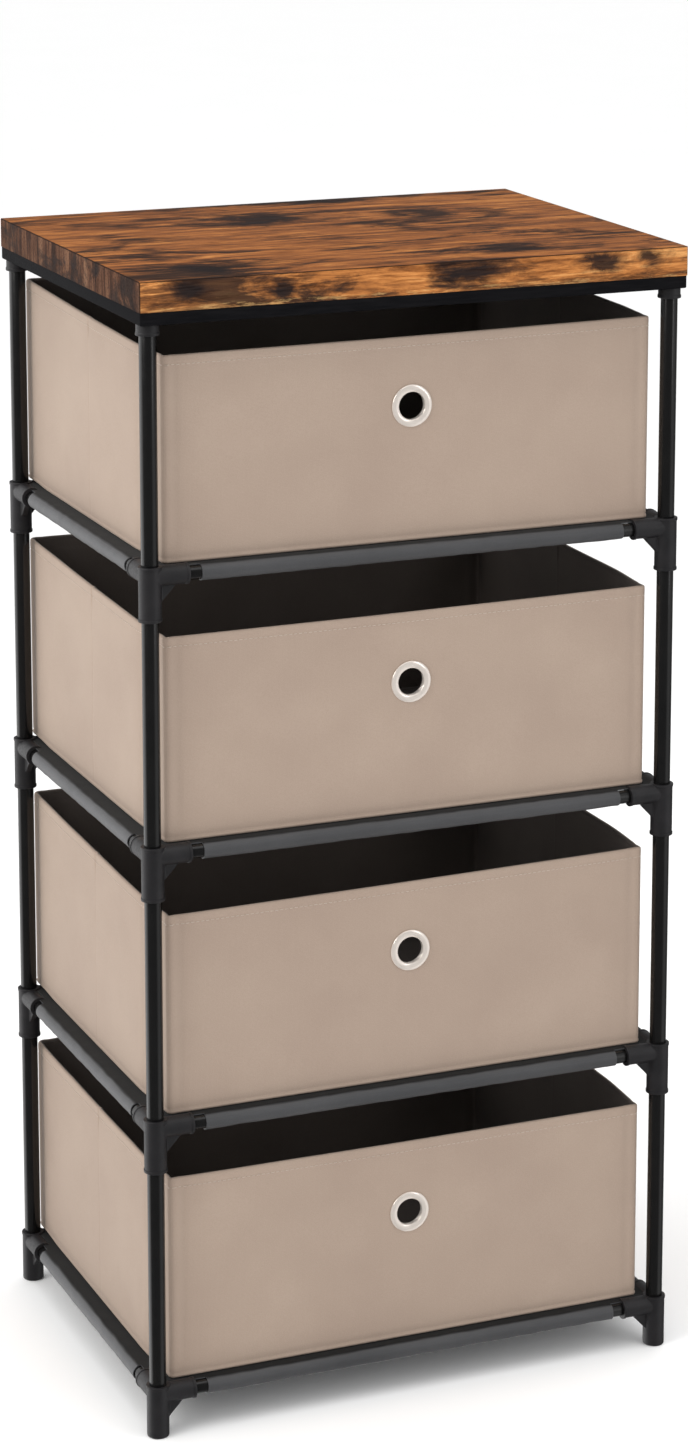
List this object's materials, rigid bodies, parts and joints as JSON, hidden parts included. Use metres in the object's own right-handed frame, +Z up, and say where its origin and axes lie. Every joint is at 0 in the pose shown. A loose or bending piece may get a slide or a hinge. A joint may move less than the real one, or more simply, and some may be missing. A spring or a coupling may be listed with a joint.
{
  "type": "fabric drawer dresser",
  "caption": "Free-standing tower of pull-out fabric bins on a plug-together tube frame with fabric shelves and a thick wood-look top.",
  "frame": {"origin": "floor level, midway between the four feet", "axes": "+Z up, -Y towards the front that the bins pull out of, +X to the right seen from the front"},
  "size_m": [0.544, 0.412, 1.102],
  "materials": {
    "wood_top": "satin rustic wood-look laminate",
    "black_panel": "matte black edge band",
    "black_connector": "satin moulded plastic",
    "black_tube": "satin powder coat",
    "screw_steel": "plated",
    "shelf_cloth": "non-woven cloth",
    "bin_cloth": "non-woven cloth, lined in black",
    "bin_board": "plain board",
    "eyelet_metal": "polished nickel"
  },
  "bodies": {
    "root": {"connectors_1_left_hand": "black_connector", "connectors_1_right_hand": "black_connector", "connectors_2_left_hand": "black_connector", "connectors_2_right_hand": "black_connector", "connectors_3_left_hand": "black_connector", "connectors_3_right_hand": "black_connector", "foot_connectors_left_hand": "black_connector", "foot_connectors_right_hand": "black_connector", "post_tube_1_front_left": "black_tube", "post_tube_1_front_right": "black_tube", "post_tube_1_rear_left": "black_tube", "post_tube_1_rear_right": "black_tube", "post_tube_2_front_left": "black_tube", "post_tube_2_front_right": "black_tube", "post_tube_2_rear_left": "black_tube", "post_tube_2_rear_right": "black_tube", "post_tube_3_front_left": "black_tube", "post_tube_3_front_right": "black_tube", "post_tube_3_rear_left": "black_tube", "post_tube_3_rear_right": "black_tube", "post_tube_4_front_left": "black_tube", "post_tube_4_front_right": "black_tube", "post_tube_4_rear_left": "black_tube", "post_tube_4_rear_right": "black_tube", "rails_1_front_back": "black_tube", "rails_1_sides": "black_tube", "rails_2_front_back": "black_tube", "rails_2_sides": "black_tube", "rails_3_front_back": "black_tube", "rails_3_sides": "black_tube", "rails_4_front_back": "black_tube", "rails_4_sides": "black_tube", "shelf_fabric_1": "shelf_cloth", "shelf_fabric_2": "shelf_cloth", "shelf_fabric_3": "shelf_cloth", "shelf_fabric_4": "shelf_cloth", "top_base_panel": "black_panel", "top_board": "wood_top", "top_socket_screws": "screw_steel", "top_sockets": "black_connector"},
    "bin_1": {"bin_1_base_board": "bin_board", "bin_1_cloth": "bin_cloth", "bin_1_eyelet": "eyelet_metal", "bin_1_wall_boards": "bin_board"},
    "bin_2": {"bin_2_base_board": "bin_board", "bin_2_cloth": "bin_cloth", "bin_2_eyelet": "eyelet_metal", "bin_2_wall_boards": "bin_board"},
    "bin_3": {"bin_3_base_board": "bin_board", "bin_3_cloth": "bin_cloth", "bin_3_eyelet": "eyelet_metal", "bin_3_wall_boards": "bin_board"},
    "bin_4": {"bin_4_base_board": "bin_board", "bin_4_cloth": "bin_cloth", "bin_4_eyelet": "eyelet_metal", "bin_4_wall_boards": "bin_board"}
  },
  "joints": [
    {"name": "bin_1_slide", "type": "slide", "parent": "root", "child": "bin_1", "axis": [0, -1, 0], "range_m": [0, 0.43]},
    {"name": "bin_2_slide", "type": "slide", "parent": "root", "child": "bin_2", "axis": [0, -1, 0], "range_m": [0, 0.43]},
    {"name": "bin_3_slide", "type": "slide", "parent": "root", "child": "bin_3", "axis": [0, -1, 0], "range_m": [0, 0.43]},
    {"name": "bin_4_slide", "type": "slide", "parent": "root", "child": "bin_4", "axis": [0, -1, 0], "range_m": [0, 0.43]}
  ]
}
